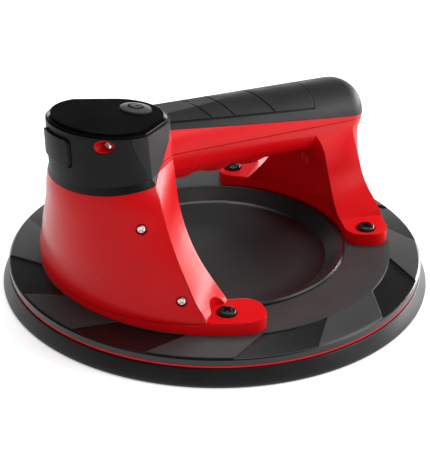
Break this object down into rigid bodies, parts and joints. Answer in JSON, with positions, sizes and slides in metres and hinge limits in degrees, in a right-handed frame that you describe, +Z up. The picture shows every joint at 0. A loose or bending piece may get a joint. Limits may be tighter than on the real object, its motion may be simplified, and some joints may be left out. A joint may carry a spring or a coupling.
{
  "type": "battery suction lifter",
  "caption": "Battery vacuum lifter for floor tiles: round suction cup on a dished plate, hollow tower with pump and display, and a round handle on a rear leg.",
  "frame": {"origin": "centre of the cup on the plane that the lip rests on", "axes": "+Z up, +X along the handle from the tower to the rear leg, mirror plane y = 0 but for the flap and inner parts"},
  "size_m": [0.215, 0.215, 0.1121],
  "materials": {
    "cup_rubber": "soft black moulded rubber with a fine satin sheen",
    "band_red": "red moulded seal",
    "plate_black": "fine textured black nylon with dark recessed facets",
    "housing_red": "satin red moulded plastic",
    "soft_grey": "soft dark grey grip rubber",
    "cover_black": "satin black moulded plastic",
    "lens_black": "polished smoked lens",
    "button_grey": "satin grey button",
    "screw_black": "black zinc screws",
    "screw_steel": "bright steel screws",
    "brass_insert": "knurled brass inserts",
    "filter_foam": "open cell foam",
    "inner_plastic": "black moulded inner parts",
    "board_green": "green circuit board",
    "chip_black": "black component body",
    "steel_can": "drawn steel can",
    "pump_white": "natural nylon pump",
    "silicone": "translucent silicone",
    "cell_wrap": "blue shrink sleeve of the cell",
    "contact_nickel": "nickel plated contacts"
  },
  "bodies": {
    "housing": {"suction_pad": "cup_rubber", "seal_band": "band_red", "base_plate": "plate_black", "foot_inserts": "brass_insert", "foot_screws": "screw_black", "inlet_filter": "filter_foam", "inlet_nipple": "brass_insert", "front_panel": "housing_red", "lower_frame": "housing_red", "upper_shell": "housing_red", "soft_cover": "soft_grey", "head_front_cover": "cover_black", "display_window": "lens_black", "display_carrier": "housing_red", "display_board": "board_green", "display_module": "chip_black", "power_switch": "chip_black", "charge_socket": "contact_nickel", "charge_board": "board_green", "panel_screws": "screw_steel", "head_screws": "screw_steel", "handle_screws": "screw_steel", "pump_bracket": "inner_plastic", "motor_can": "steel_can", "pump_body": "pump_white", "connecting_rod": "pump_white", "pump_diaphragm": "silicone", "pump_head": "pump_white", "manifold_gasket": "silicone", "air_manifold": "pump_white", "release_valve": "steel_can", "pressure_sensor": "chip_black", "air_hose": "silicone", "main_board": "board_green", "control_chip": "chip_black", "battery_cell": "cell_wrap", "battery_cradle": "inner_plastic", "contact_plates": "contact_nickel"},
    "button": {"power_button": "button_grey"},
    "flap": {"port_cap": "cover_black"},
    "rotor": {"motor_rotor": "steel_can"},
    "plunger": {"valve_plunger": "brass_insert"}
  },
  "joints": [
    {"name": "button_press", "type": "slide", "parent": "housing", "child": "button", "axis": [-0.1338, 0, -0.991], "range_m": [0, 0.0008], "stiffness_N_per_m": 900},
    {"name": "flap_hinge", "type": "hinge", "parent": "housing", "child": "flap", "pos_m": [-0.09783, 0.00387, 0.1062], "axis": [0.1392, 0.9903, 0], "range_deg": [0, 100]},
    {"name": "rotor_spin", "type": "hinge", "parent": "housing", "child": "rotor", "pos_m": [-0.0752, 0, 0.066], "axis": [0, 0, 1], "continuous": true},
    {"name": "valve_lift", "type": "slide", "parent": "housing", "child": "plunger", "axis": [0, 0, 1], "range_m": [0, 0.0015], "stiffness_N_per_m": 600}
  ]
}
